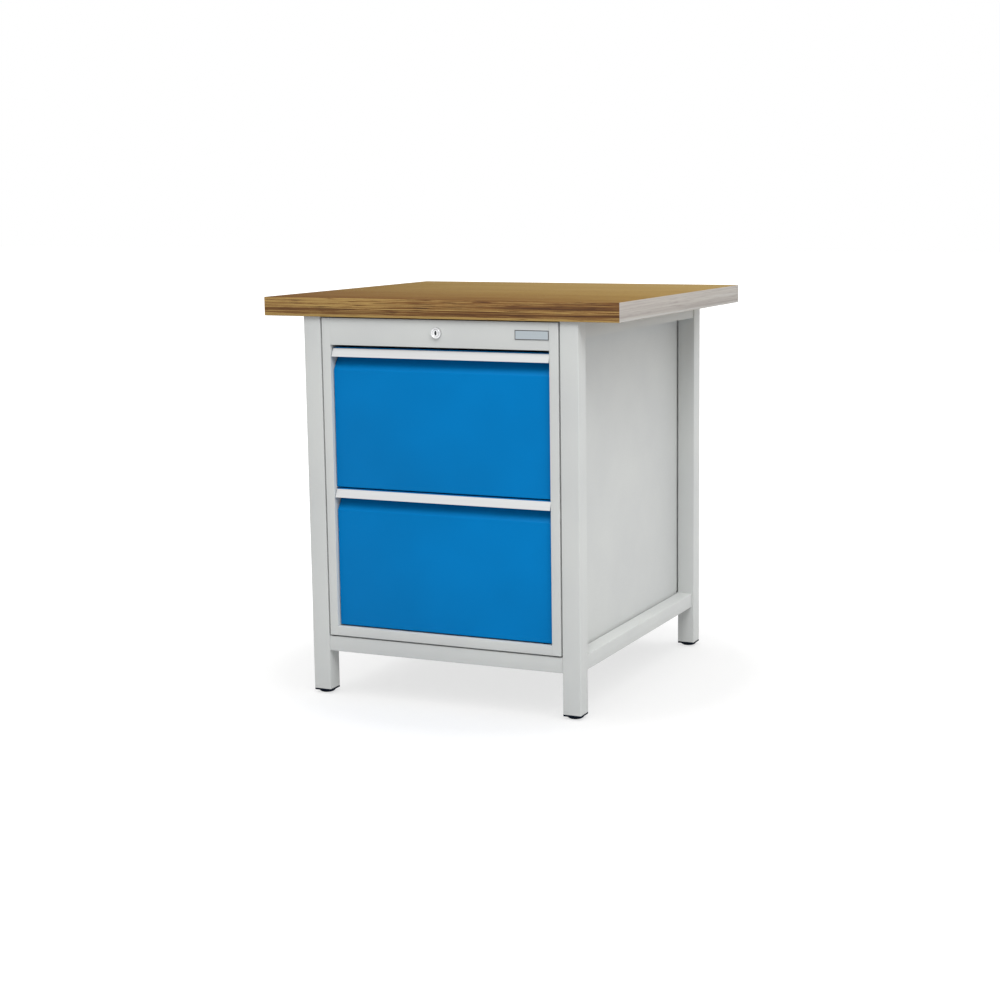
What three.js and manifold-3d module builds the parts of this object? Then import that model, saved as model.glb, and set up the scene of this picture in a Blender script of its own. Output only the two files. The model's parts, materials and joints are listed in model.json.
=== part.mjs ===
// A workshop bench: a plywood worktop on a square-tube steel frame, with a two-drawer steel cabinet
// bolted between the legs. Millimetres, +Z up, front towards -Y, origin on the floor under the middle.
import * as THREE from "three";
import { mergeVertices } from "three/addons/utils/BufferGeometryUtils.js";
import Module from "manifold-3d";

const wasm = await Module();
wasm.setup();

// Worktop
const benchHeight = 865;
const topWidth = 820;
const topDepth = 750;
const topThickness = 40;

// Tube frame
const frameWidth = 635;
const frameDepth = 736;
const legSide = 40;
const tubeWall = 2;
const tubeCorner = 3;
const railUnder = 97; // floor to the underside of the low rails
const railHeight = 33;
const railWidth = 35;
const crossRailInset = 2.5; // behind the faces of the legs
const sideRailInset = 5;
const angleHeight = 35; // the top angles that carry the worktop
const angleWidth = 35;
const angleWall = 3;
const angleInset = 2.5;

// Feet
const footFlange = 4;
const glideHeight = 6;
const glideRadius = 17;
const glideTaper = 7;
const glideSteps = 4;
const plugDepth = 25;
const plugClearance = 0.3;

// Cabinet of folded sheet
const cabinetGap = 3.5; // kept open to the legs and the front rail
const cabinetTopGap = 2.5;
const cabinetRearInset = 4;
const sheet = 1.5;
const sideFlange = 20;
const bottomFlange = 20;
const fasciaHeight = 57;
const lipDepth = 30;
const skirtDepth = 13.5; // of the side walls, behind the side rails
const foldRadius = 2.5;

// Drawers
const drawerNames = ["lower", "upper"];
const frontRecess = 9;
const frontSideGap = 2;
const frontBottomGap = 3;
const frontTopGap = 6;
const drawerGap = 3;
const frontThickness = 26;
const drawerSheet = 1.25;
const fingerDepth = 20; // how far the front slopes back under the grip
const fingerHeight = 28;
const gripHeight = 19; // from the top of the front to the hook
const gripLean = 7;
const gripWall = 2.5;
const gripHook = 4.5;
const gripStep = 2; // of the grip in front of the front's top lip
const trayRise = 12;
const trayDrop = 48; // from the top of the front to the top of the tray
const trayHem = 10;
const rearSpace = 75.5; // behind the trays, for the lock bar

// Telescopic runners
const runnerSpace = 18; // between tray and opening
const runnerRise = 60; // from the tray's underside to the middle of the runner
const runnerHalf = 24;
const runnerWall = 2;
const runnerPlay = 0.4;
const runnerFrontInset = 3;
const runnerRearInset = 17;
const standoffLength = 40;
const standoffHeight = 40;
const standoffInset = 60; // from a runner's end to the middle of its standoff

// Fasteners
const boltRadius = 4;
const boltHeadRadius = 6.5;
const boltHeadHeight = 5;
const boltReach = 10;
const boltInset = 110; // from the cabinet's bottom and top to its bolts
const bossRadius = 10;
const screwRadius = 2.5;
const screwHeadRadius = 4.5;
const screwHeadHeight = 3;
const screwDepth = 25;
const screwInset = 130; // from the end of a top angle

// Lock and locking bar
const lockDrop = 26.5; // from the cabinet's top to the lock's axis
const bezelRadius = 11.75;
const bezelHeight = 5.5;
const lockBodyRadius = 9;
const lockBodyLength = 23;
const plugRadius = 7.5;
const keySlotHeight = 9;
const keySlotWidth = 3.2;
const keySlotDepth = 14;
const keyHoleRadius = 2.7;
const nutAcross = 24;
const nutHeight = 4;
const rodRadius = 4;
const crankRadius = 10;
const crankWall = 3;
const pinRadius = 2;
const pinPlay = 0.5;
const barWidth = 20;
const barWall = 3;
const barRearGap = 16.5; // from the locking bar to the cabinet's back
const guideWall = 4;
const guideHeight = 12;
const guideInset = 110; // from the bar's ends to its guides
const hangerWidth = 30;
const hangerWall = 2;
const catchRise = 150; // from a tray's underside to its catch
const catchReach = 16;
const catchLip = 10;
const catchWall = 2;
const hookGap = 6; // tooth to lip when unlocked
const hookTooth = 10;
const hookWidth = 12;

// Bare label plate on the fascia
const plateWidth = 76;
const plateHeight = 20;
const plateWall = 1;
const plateDrop = 16.5;

// Running fits
const seam = 0.1; // between welded or bolted faces
const seatGap = 0.3; // under heads and round shanks
const cornerSteps = 3;
const smallRound = 16;
const largeRound = 32;

// Places worked out from the sizes above
const footHeight = footFlange + glideHeight;
const topUnder = benchHeight - topThickness;
const legX = (frameWidth - legSide) / 2;
const legY = (frameDepth - legSide) / 2;
const legInnerX = frameWidth / 2 - legSide;
const legInnerY = frameDepth / 2 - legSide;
const railTop = railUnder + railHeight;
const cabHalf = legInnerX - cabinetGap;
const cabInner = cabHalf - sheet;
const cabFront = -frameDepth / 2;
const cabBack = frameDepth / 2 - cabinetRearInset;
const cabBottom = railTop + cabinetGap;
const cabTop = topUnder - cabinetTopGap;
const lipEnd = cabFront + lipDepth;
const openHalf = cabHalf - sideFlange;
const openBottom = cabBottom + bottomFlange;
const openTop = cabTop - fasciaHeight;
const frontHalf = openHalf - frontSideGap;
const frontFace = cabFront + frontRecess;
const frontBack = frontFace + frontThickness;
const stackHeight = openTop - openBottom - frontBottomGap - frontTopGap;
const frontHeight = (stackHeight + drawerGap) / drawerNames.length - drawerGap;
const drawerPitch = frontHeight + drawerGap;
const trayHalf = openHalf - runnerSpace;
const trayTop = frontHeight - trayDrop;
const trayFront = frontBack + seam;
const trayBack = cabBack - sheet - rearSpace;
const runnerFront = trayFront + runnerFrontInset;
const runnerBack = trayBack - runnerRearInset;
const runnerZ = trayRise + runnerRise;
const lockZ = cabTop - lockDrop;
const barBack = cabBack - sheet - barRearGap;
const barFront = barBack - barWall;
const crankBack = barFront - seam * 2;
const crankFront = crankBack - crankWall;
const crankSide = crankRadius * Math.SQRT1_2; // the pin swings from 45 degrees below to 45 above
const catchZ = trayRise + catchRise;

const steelGrey = 0xc8cac9;
const drawerBlue = 0x0775b8;
const anodised = 0xdedede;
const zinc = 0xb4b8ba;
const nickel = 0xcfcfca;
const blackPlastic = 0x17181a;
const beech = 0xa58a56;

// A closed outline through corners [u, v] or [u, v, radius].
function outline(corners) {
  const shape = new THREE.Shape();
  const count = corners.length;
  corners.forEach(([u, v, radius = 0], i) => {
    const here = new THREE.Vector2(u, v);
    const [bu, bv] = corners[(i + count - 1) % count];
    const [au, av] = corners[(i + 1) % count];
    const back = new THREE.Vector2(bu, bv).sub(here).normalize();
    const ahead = new THREE.Vector2(au, av).sub(here).normalize();
    const reach = radius / Math.tan(Math.acos(back.dot(ahead)) / 2);
    const start = here.clone().addScaledVector(back, reach);
    const end = here.clone().addScaledVector(ahead, reach);
    if (i === 0) shape.moveTo(start.x, start.y);
    else shape.lineTo(start.x, start.y);
    if (radius > 0) shape.quadraticCurveTo(u, v, end.x, end.y);
  });
  shape.closePath();
  return shape;
}

// The corners of a counterclockwise outline moved inwards by a wall.
function inset(corners, wall) {
  const count = corners.length;
  return corners.map(([u, v], i) => {
    const [bu, bv] = corners[(i + count - 1) % count];
    const [au, av] = corners[(i + 1) % count];
    const before = new THREE.Vector2(u - bu, v - bv).normalize();
    const after = new THREE.Vector2(au - u, av - v).normalize();
    const spread = 1 + before.dot(after);
    const shiftU = (-(before.y + after.y) * wall) / spread;
    const shiftV = ((before.x + after.x) * wall) / spread;
    return [u + shiftU, v + shiftV];
  });
}

function rectangle(u0, u1, v0, v1, radius = 0) {
  return [
    [u0, v0, radius],
    [u1, v0, radius],
    [u1, v1, radius],
    [u0, v1, radius],
  ];
}

// A rectangular hollow section.
function hollow(u0, u1, v0, v1, wall, radius) {
  const shape = outline(rectangle(u0, u1, v0, v1, radius));
  shape.holes.push(outline(rectangle(u0 + wall, u1 - wall, v0 + wall, v1 - wall)));
  return shape;
}

// A profile drawn across an axis and pulled along it: (y, z) along x, (x, z) along y, (x, y) along z.
function pull(shape, axis, from, to) {
  const depth = to - from;
  const options = { depth, bevelEnabled: false, curveSegments: cornerSteps };
  const geometry = new THREE.ExtrudeGeometry(shape, options);
  const x = new THREE.Vector3(1, 0, 0);
  const y = new THREE.Vector3(0, 1, 0);
  const z = new THREE.Vector3(0, 0, 1);
  const turn = new THREE.Matrix4();
  if (axis === "x") turn.makeBasis(y, z, x).setPosition(from, 0, 0);
  if (axis === "y") turn.makeBasis(x, z, y.negate()).setPosition(0, to, 0);
  if (axis === "z") turn.setPosition(0, 0, from);
  return geometry.applyMatrix4(turn);
}

function block(x0, x1, y0, y1, z0, z1) {
  const geometry = new THREE.BoxGeometry(Math.abs(x1 - x0), y1 - y0, z1 - z0);
  return geometry.translate((x0 + x1) / 2, (y0 + y1) / 2, (z0 + z1) / 2);
}

// A turned piece from [radius, station] pairs, with its stations along an axis: x, -x, y or z.
function turned(profile, axis, sides = smallRound) {
  const points = profile.map(([radius, station]) => new THREE.Vector2(radius, station));
  const geometry = new THREE.LatheGeometry(points, sides);
  if (axis === "x") geometry.rotateZ(-Math.PI / 2);
  if (axis === "-x") geometry.rotateZ(Math.PI / 2);
  if (axis === "z") geometry.rotateX(Math.PI / 2);
  return geometry;
}

function round(axis, radius, from, to, sides = smallRound) {
  const profile = [
    [0, from],
    [radius, from],
    [radius, to],
    [0, to],
  ];
  return turned(profile, axis, sides);
}

function solidOf(geometry) {
  const bare = new THREE.BufferGeometry();
  bare.setAttribute("position", geometry.getAttribute("position"));
  bare.setIndex(geometry.index);
  const merged = mergeVertices(bare);
  const vertProperties = merged.attributes.position.array;
  const triVerts = new Uint32Array(merged.index.array);
  return new wasm.Manifold(new wasm.Mesh({ numProp: 3, vertProperties, triVerts }));
}

function geometryOf(solid) {
  const { vertProperties, triVerts } = solid.getMesh();
  const geometry = new THREE.BufferGeometry();
  geometry.setAttribute("position", new THREE.BufferAttribute(vertProperties, 3));
  geometry.setIndex(new THREE.BufferAttribute(triVerts, 1));
  geometry.computeVertexNormals();
  return geometry;
}

function join(first, ...others) {
  return geometryOf(others.reduce((whole, other) => whole.add(solidOf(other)), solidOf(first)));
}

function cut(first, ...cutters) {
  return geometryOf(cutters.reduce((whole, cutter) => whole.subtract(solidOf(cutter)), solidOf(first)));
}

function add(group, name, geometry, color, roughness = 0.5, metalness = 0) {
  const mesh = new THREE.Mesh(geometry, new THREE.MeshStandardMaterial({ color, roughness, metalness }));
  mesh.name = name;
  group.add(mesh);
}

const sides = { left: -1, right: 1 };
const ends = { front: -1, rear: 1 };
const axisOf = { left: "-x", right: "x" };
const bench = new THREE.Group();

// Screws and bolts stand where these places say.
const boltHeights = [cabBottom + boltInset, cabTop - boltInset];
const screwX = frameWidth / 2 - angleInset - angleWidth / 2;
const screwY = legInnerY - screwInset;

function screwHole(side, end) {
  const hole = round("z", screwRadius + seatGap, topUnder - angleHeight, topUnder + screwDepth + seatGap);
  return hole.translate(side * screwX, end * screwY, 0);
}

function boltHole(name, end, z) {
  const hole = round(axisOf[name], boltRadius + seatGap, cabInner - 1, legInnerX + legSide / 2);
  return hole.translate(0, end * legY, z);
}

// Worktop of layered plywood with blind holes for its screws.
function worktop() {
  const board = block(-topWidth / 2, topWidth / 2, -topDepth / 2, topDepth / 2, topUnder, benchHeight);
  return cut(board, ...Object.values(sides).flatMap((s) => Object.values(ends).map((e) => screwHole(s, e))));
}

add(bench, "worktop", worktop(), beech, 0.45);

// Four square-tube legs with their plastic glides.
function leg(name, end) {
  const half = legSide / 2;
  const tube = pull(hollow(-half, half, -half, half, tubeWall, tubeCorner), "z", footHeight, topUnder - seam);
  tube.translate(sides[name] * legX, end * legY, 0);
  return cut(tube, ...boltHeights.map((z) => boltHole(name, end, z)));
}

function foot() {
  const half = legSide / 2;
  const plugHalf = half - tubeWall - plugClearance;
  const square = outline(rectangle(-half, half, -half, half, tubeCorner));
  const flange = pull(square, "z", glideHeight, footHeight - seam);
  const plug = block(-plugHalf, plugHalf, -plugHalf, plugHalf, glideHeight, footHeight + plugDepth);
  const dome = Array.from({ length: glideSteps + 1 }, (_, i) => {
    const turn = ((i / glideSteps) * Math.PI) / 2;
    return [glideRadius - glideTaper * (1 - Math.sin(turn)), glideHeight * (1 - Math.cos(turn))];
  });
  const glide = turned(
    [
      [0, 0],
      ...dome,
      [glideRadius, footHeight - footFlange / 2],
      [0, footHeight - footFlange / 2],
    ],
    "z",
    largeRound,
  );
  return join(flange, plug, glide);
}

for (const [endName, end] of Object.entries(ends)) {
  for (const [sideName, side] of Object.entries(sides)) {
    const place = `${endName}_${sideName}`;
    add(bench, `leg_${place}`, leg(sideName, end), steelGrey, 0.5);
    add(bench, `foot_${place}`, foot().translate(side * legX, end * legY, 0), blackPlastic, 0.6);
  }
}

// Low rails between the legs, and the angles that the worktop is screwed to.
function railSection(middle) {
  return hollow(middle - railWidth / 2, middle + railWidth / 2, railUnder, railTop, tubeWall, tubeCorner);
}

function crossRail(end) {
  const section = railSection(end * (frameDepth / 2 - crossRailInset - railWidth / 2));
  return pull(section, "x", -legInnerX + seam, legInnerX - seam);
}

function sideRail(side) {
  const section = railSection(side * (frameWidth / 2 - sideRailInset - railWidth / 2));
  return pull(section, "y", -legInnerY + seam, legInnerY - seam);
}

function topAngle(side) {
  const outer = side * (frameWidth / 2 - angleInset);
  const inner = outer - side * angleWidth;
  const top = topUnder - seam;
  const section = outline([
    [outer, top],
    [outer, topUnder - angleHeight],
    [outer - side * angleWall, topUnder - angleHeight],
    [outer - side * angleWall, top - angleWall],
    [inner, top - angleWall],
    [inner, top],
  ]);
  const angle = pull(section, "y", -legInnerY + seam, legInnerY - seam);
  return cut(angle, ...Object.values(ends).map((end) => screwHole(side, end)));
}

function worktopScrew() {
  const seat = topUnder - seam - angleWall - seatGap;
  const profile = [
    [0, seat - screwHeadHeight],
    [screwHeadRadius, seat - screwHeadHeight],
    [screwHeadRadius, seat],
    [screwRadius, seat],
    [screwRadius, topUnder + screwDepth - screwRadius],
    [0, topUnder + screwDepth],
  ];
  return turned(profile, "z");
}

for (const [endName, end] of Object.entries(ends)) {
  add(bench, `${endName}_rail`, crossRail(end), steelGrey, 0.5);
}
for (const [sideName, side] of Object.entries(sides)) {
  add(bench, `side_rail_${sideName}`, sideRail(side), steelGrey, 0.5);
  add(bench, `top_angle_${sideName}`, topAngle(side), steelGrey, 0.5);
  for (const [endName, end] of Object.entries(ends)) {
    const screw = worktopScrew().translate(side * screwX, end * screwY, 0);
    add(bench, `worktop_screw_${endName}_${sideName}`, screw, zinc, 0.35, 1);
  }
}

// Cabinet walls. A side wall folds round the front into a flange and a lip, reaches down behind the
// side rail as a skirt, and carries welded bosses that keep it off the legs.
function cabinetSide(name) {
  const s = sides[name];
  const section = outline([
    [s * cabHalf, cabBack],
    [s * cabHalf, cabFront, foldRadius],
    [s * openHalf, cabFront],
    [s * openHalf, lipEnd],
    [s * (openHalf + sheet), lipEnd],
    [s * (openHalf + sheet), cabFront + sheet],
    [s * cabInner, cabFront + sheet],
    [s * cabInner, cabBack],
  ]);
  const places = Object.values(ends).flatMap((end) => boltHeights.map((z) => [end, z]));
  const bosses = places.map(([end, z]) => {
    return round(axisOf[name], bossRadius, cabHalf - sheet / 2, legInnerX - seam).translate(0, end * legY, z);
  });
  const skirtY = legInnerY - cabinetGap;
  const skirt = block(s * cabInner, s * cabHalf, -skirtY, skirtY, cabBottom - skirtDepth, cabBottom + sheet);
  const wall = join(pull(section, "z", cabBottom, cabTop), skirt, ...bosses);
  return cut(wall, ...places.map(([end, z]) => boltHole(name, end, z)));
}

function cabinetBolt(name) {
  const seat = cabInner - seatGap;
  const profile = [
    [0, seat - boltHeadHeight],
    [boltHeadRadius, seat - boltHeadHeight],
    [boltHeadRadius, seat],
    [boltRadius, seat],
    [boltRadius, legInnerX + tubeWall + boltReach],
    [0, legInnerX + tubeWall + boltReach],
  ];
  return turned(profile, axisOf[name]);
}

// A channel across the front: a face, a lip towards the opening and a return to the cabinet's panel.
function frontChannel(lipZ, panelZ) {
  const up = Math.sign(lipZ - panelZ);
  const section = outline([
    [cabFront, panelZ],
    [cabFront, lipZ],
    [lipEnd, lipZ],
    [lipEnd, lipZ - up * sheet],
    [cabFront + sheet, lipZ - up * sheet],
    [cabFront + sheet, panelZ + up * sheet],
    [lipEnd, panelZ + up * sheet],
    [lipEnd, panelZ],
  ]);
  return pull(section, "x", -openHalf + seam, openHalf - seam);
}

const panelHalf = cabInner - seam;
const panelFront = lipEnd + seam;
const panelBack = cabBack - sheet - seam;

function lockFascia() {
  const hole = round("y", lockBodyRadius + seatGap, cabFront - 1, lipEnd + 1, largeRound);
  return cut(frontChannel(openTop, cabTop), hole.translate(0, 0, lockZ));
}

// The top panel has a tab folded down that carries the far end of the lock rod.
function cabinetTop() {
  const panel = block(-panelHalf, panelHalf, panelFront, panelBack, cabTop - sheet, cabTop);
  const tabBack = crankFront - seatGap;
  const tabFront = tabBack - hangerWall;
  const tabHalf = hangerWidth / 2;
  const tab = block(-tabHalf, tabHalf, tabFront, tabBack, lockZ - tabHalf, cabTop - sheet / 2);
  const bore = round("y", rodRadius + seatGap, tabFront - 1, tabBack + 1).translate(0, 0, lockZ);
  return cut(join(panel, tab), bore);
}

// The locking bar hangs from the crank pin in this span at rest.
const barTop = lockZ;
const barBottom = openBottom + frontBottomGap + catchZ - rearSpace / 2;
const guideHeights = [barBottom + guideInset, barTop - guideInset];

function cabinetBack() {
  const panel = block(-panelHalf, panelHalf, cabBack - sheet, cabBack, cabBottom, cabTop);
  const x0 = -guideWall;
  const x1 = barWidth + guideWall;
  const half = guideHeight / 2;
  const loops = guideHeights.map((z) => {
    return block(x0, x1, barFront - guideWall, cabBack - sheet / 2, z - half, z + half);
  });
  const ways = guideHeights.map((z) => {
    const y0 = barFront - seatGap;
    return block(-seatGap, barWidth + seatGap, y0, barBack + seatGap, z - guideHeight, z + guideHeight);
  });
  return cut(join(panel, ...loops), ...ways);
}

function cabinetBottom() {
  return block(-panelHalf, panelHalf, panelFront, panelBack, cabBottom, cabBottom + sheet);
}

add(bench, "cabinet_bottom", cabinetBottom(), steelGrey);
add(bench, "cabinet_top", cabinetTop(), steelGrey);
add(bench, "cabinet_back", cabinetBack(), steelGrey);
add(bench, "lock_fascia", lockFascia(), steelGrey);
add(bench, "lower_front_strip", frontChannel(openBottom, cabBottom), steelGrey);
for (const name of Object.keys(sides)) {
  add(bench, `cabinet_side_${name}`, cabinetSide(name), steelGrey);
  for (const [endName, end] of Object.entries(ends)) {
    boltHeights.forEach((z, level) => {
      const bolt = cabinetBolt(name).translate(0, end * legY, z);
      add(bench, `cabinet_bolt_${endName}_${name}_${level + 1}`, bolt, zinc, 0.35, 1);
    });
  }
}

// Bare label plate, in line with the right edge of the opening.
function labelPlate() {
  const top = cabTop - plateDrop;
  const back = cabFront - seam;
  return block(openHalf - plateWidth, openHalf, back - plateWall, back, top - plateHeight, top);
}

add(bench, "label_plate", labelPlate(), anodised, 0.4);

// Lock: a housing through the fascia, held by a nut, with a plug that turns a rod to the locking bar.
function lockHousing() {
  const bezelFront = cabFront - seam - bezelHeight;
  const edge = 1;
  const profile = [
    [plugRadius + seatGap, bezelFront],
    [bezelRadius - edge, bezelFront],
    [bezelRadius, bezelFront + edge],
    [bezelRadius, cabFront - seam],
    [lockBodyRadius, cabFront - seam],
    [lockBodyRadius, cabFront + lockBodyLength],
    [plugRadius + seatGap, cabFront + lockBodyLength],
    [plugRadius + seatGap, bezelFront],
  ];
  return turned(profile, "y", largeRound);
}

function lockNut() {
  const corner = nutAcross / Math.sqrt(3);
  const hexagon = new THREE.CylinderGeometry(corner, corner, nutHeight, 6);
  const back = cabFront + sheet + seatGap;
  const bore = round("y", lockBodyRadius + seatGap, back - 1, back + nutHeight + 1, largeRound);
  return cut(hexagon.translate(0, back + nutHeight / 2, 0), bore);
}

function lockPlug() {
  const face = cabFront - bezelHeight;
  const barrel = round("y", plugRadius, face, cabFront + lockBodyLength, largeRound);
  const halfWidth = keySlotWidth / 2;
  const halfHeight = keySlotHeight / 2;
  const slot = block(-halfWidth, halfWidth, face - 1, face + keySlotDepth, -halfHeight, halfHeight);
  return cut(barrel, slot, round("y", keyHoleRadius, face - 1, face + keySlotDepth));
}

function lockRod() {
  const rod = round("y", rodRadius, cabFront + lockBodyLength + seam, crankBack);
  const arm = block(-rodRadius, crankRadius + 2 * pinRadius, crankFront, crankBack, -rodRadius, rodRadius);
  const pin = round("y", pinRadius, crankFront, barBack + barWall).translate(crankRadius, 0, 0);
  return join(rod, arm, pin).rotateY(Math.PI / 4);
}

function lockBar() {
  const bar = block(0, barWidth, barFront, barBack, barBottom, barTop);
  const slot = block(
    crankSide - pinRadius - pinPlay,
    crankRadius + pinRadius + pinPlay,
    barFront - 1,
    barBack + 1,
    lockZ - crankSide - pinRadius - pinPlay,
    lockZ - crankSide + pinRadius + pinPlay,
  );
  const x0 = (barWidth - hookWidth) / 2;
  const x1 = x0 + hookWidth;
  const toothFront = trayBack + (catchReach - catchWall - barWall) / 2;
  const hooks = drawerNames.flatMap((name, i) => {
    const toothTop = drawerBase(i) + catchZ - catchLip - hookGap;
    const tongueTop = toothTop - hookTooth;
    const tongue = block(x0, x1, toothFront, barBack - barWall / 2, tongueTop - barWall, tongueTop);
    const tooth = block(x0, x1, toothFront, toothFront + barWall, tongueTop - barWall, toothTop);
    return [tongue, tooth];
  });
  return cut(join(bar, ...hooks), slot);
}

function drawerBase(i) {
  return openBottom + frontBottomGap + i * drawerPitch;
}

const lock = new THREE.Group();
lock.position.z = lockZ;
add(lock, "lock_housing", lockHousing(), nickel, 0.3, 1);
add(lock, "lock_nut", lockNut(), zinc, 0.35, 1);
add(lock, "lock_plug", lockPlug(), nickel, 0.3, 1);
add(lock, "lock_rod", lockRod(), zinc, 0.35, 1);
bench.add(lock);
add(bench, "lock_bar", lockBar(), zinc, 0.35, 1);

// A drawer front is a closed box section that slopes back under the grip to make room for fingers.
// Its top sheet runs forward as a lip that the grip hangs under.
function drawerFront() {
  const slopeTop = frontHeight - gripHeight;
  const pocketBack = frontFace + fingerDepth;
  const lipFront = cabFront + gripLean + gripStep;
  const lower = [
    [pocketBack, slopeTop],
    [frontFace, slopeTop - fingerHeight],
    [frontFace, 0],
    [frontBack, 0],
    [frontBack, frontHeight],
  ];
  const lip = [
    [lipFront, frontHeight],
    [lipFront, frontHeight - drawerSheet],
    [pocketBack, frontHeight - drawerSheet],
  ];
  const section = outline([...lower, ...lip]);
  section.holes.push(outline(inset([...lower, [pocketBack, frontHeight]], drawerSheet)));
  return pull(section, "x", -frontHalf, frontHalf);
}

// The grip is an extruded strip: a flange under the front's lip, a leaning face and a small hook to pull on.
function gripStrip() {
  const top = frontHeight - drawerSheet - seam;
  const bottom = frontHeight - gripHeight;
  const slope = gripLean / (top - bottom);
  const faceTop = cabFront + gripLean;
  const flangeBack = frontFace + fingerDepth - seam;
  const wallAcross = gripWall * Math.hypot(1, slope);
  const hookTop = bottom + gripWall;
  const flangeUnder = top - gripWall;
  const section = outline([
    [flangeBack, top],
    [faceTop, top, gripWall / 2],
    [cabFront, bottom, gripWall / 4],
    [cabFront + gripHook, bottom, gripWall / 4],
    [cabFront + gripHook, hookTop],
    [cabFront + slope * gripWall + wallAcross, hookTop],
    [faceTop - slope * gripWall + wallAcross, flangeUnder],
    [flangeBack, flangeUnder],
  ]);
  return pull(section, "x", -frontHalf, frontHalf);
}

// The tray is one sheet folded up at both sides, with a hem along each top edge.
function tray() {
  const inner = trayHalf - drawerSheet;
  const hem = trayHalf - trayHem;
  const hemUnder = trayTop - drawerSheet;
  const section = outline([
    [-trayHalf, trayRise],
    [trayHalf, trayRise],
    [trayHalf, trayTop],
    [hem, trayTop],
    [hem, hemUnder],
    [inner, hemUnder],
    [inner, trayRise + drawerSheet],
    [-inner, trayRise + drawerSheet],
    [-inner, hemUnder],
    [-hem, hemUnder],
    [-hem, trayTop],
    [-trayHalf, trayTop],
  ]);
  return pull(section, "y", trayFront, trayBack);
}

// The tray's back wall carries the catch that the locking bar's hook rises behind.
function trayBackWall() {
  const half = trayHalf - drawerSheet - seam;
  const bottom = trayRise + drawerSheet + seam;
  const wall = block(-half, half, trayBack - drawerSheet, trayBack, bottom, trayTop - drawerSheet - seam);
  const lipBack = trayBack + catchReach;
  const shelf = block(0, barWidth, trayBack - drawerSheet / 2, lipBack, catchZ, catchZ + catchWall);
  const lip = block(0, barWidth, lipBack - catchWall, lipBack, catchZ - catchLip, catchZ + catchWall);
  return join(wall, shelf, lip);
}

// One runner: channels nested in each other, from the cabinet's inwards to the tray's.
function channel(side, webX, tipX, half) {
  const web = side * webX;
  const tip = side * tipX;
  const inwards = Math.sign(tip - web);
  return outline([
    [web, runnerZ - half],
    [tip, runnerZ - half],
    [tip, runnerZ - half + runnerWall],
    [web + inwards * runnerWall, runnerZ - half + runnerWall],
    [web + inwards * runnerWall, runnerZ + half - runnerWall],
    [tip, runnerZ + half - runnerWall],
    [tip, runnerZ + half],
    [web, runnerZ + half],
  ]);
}

const layer = runnerWall + runnerPlay;
const innerWeb = trayHalf + seam;
const innerTip = openHalf - 2 * layer;
const outerTip = innerWeb + layer;

function cabinetMember(side) {
  const rail = pull(channel(side, openHalf, outerTip, runnerHalf), "y", runnerFront, runnerBack);
  const near = openHalf - runnerWall / 2;
  const section = [near, cabInner - seam].map((x) => side * x).sort((a, b) => a - b);
  const standoffs = [runnerFront + standoffInset, runnerBack - standoffInset].map((y) => {
    const y0 = y - standoffLength / 2;
    const tube = hollow(section[0], section[1], y0, y0 + standoffLength, runnerWall / 2, 0);
    return pull(tube, "z", runnerZ - standoffHeight / 2, runnerZ + standoffHeight / 2);
  });
  return join(rail, ...standoffs);
}

function middleMember(side) {
  return pull(channel(side, openHalf - layer, outerTip, runnerHalf - layer), "y", runnerFront, runnerBack);
}

function trayMember(side) {
  return pull(channel(side, innerWeb, innerTip, runnerHalf - 2 * layer), "y", runnerFront, runnerBack);
}

drawerNames.forEach((name, i) => {
  const drawer = new THREE.Group();
  drawer.position.z = drawerBase(i);
  add(drawer, `${name}_drawer_front`, drawerFront(), drawerBlue, 0.4);
  add(drawer, `${name}_grip_strip`, gripStrip(), anodised, 0.35, 1);
  add(drawer, `${name}_tray`, tray(), steelGrey);
  add(drawer, `${name}_tray_back`, trayBackWall(), steelGrey);
  for (const [sideName, side] of Object.entries(sides)) {
    add(drawer, `${name}_runner_cabinet_${sideName}`, cabinetMember(side), zinc, 0.35, 1);
    add(drawer, `${name}_runner_middle_${sideName}`, middleMember(side), zinc, 0.35, 1);
    add(drawer, `${name}_runner_tray_${sideName}`, trayMember(side), zinc, 0.35, 1);
  }
  bench.add(drawer);
});

export default bench;
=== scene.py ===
import json
import math

import bmesh
import bpy
from mathutils import Matrix, Vector


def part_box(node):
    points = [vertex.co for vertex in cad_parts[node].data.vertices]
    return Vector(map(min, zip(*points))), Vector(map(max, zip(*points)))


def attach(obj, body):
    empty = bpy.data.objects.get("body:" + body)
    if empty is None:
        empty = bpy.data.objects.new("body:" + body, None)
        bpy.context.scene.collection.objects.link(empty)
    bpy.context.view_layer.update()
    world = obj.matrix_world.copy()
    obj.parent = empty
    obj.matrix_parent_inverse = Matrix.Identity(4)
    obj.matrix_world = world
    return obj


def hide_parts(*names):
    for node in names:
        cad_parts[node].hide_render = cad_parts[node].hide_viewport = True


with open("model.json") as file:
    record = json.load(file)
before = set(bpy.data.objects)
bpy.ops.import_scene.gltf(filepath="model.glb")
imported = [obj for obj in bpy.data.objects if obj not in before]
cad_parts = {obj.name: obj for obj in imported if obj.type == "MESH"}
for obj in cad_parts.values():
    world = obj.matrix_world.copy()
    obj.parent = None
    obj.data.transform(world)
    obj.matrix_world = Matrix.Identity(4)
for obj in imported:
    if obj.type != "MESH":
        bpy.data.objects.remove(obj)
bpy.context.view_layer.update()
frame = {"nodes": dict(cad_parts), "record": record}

record = frame["record"]
bodyOf = {node: body for body, nodes in record["behaviour"]["bodies"].items() for node in nodes}
mm = 0.001
touch = 1e-6  # points closer than this are one place
sides = {"left": -1, "right": 1}
ends = {"front": -1, "rear": 1}
drawers = ("lower", "upper")
axisVectors = {"x": Vector((1, 0, 0)), "y": Vector((0, 1, 0)), "z": Vector((0, 0, 1))}
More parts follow.
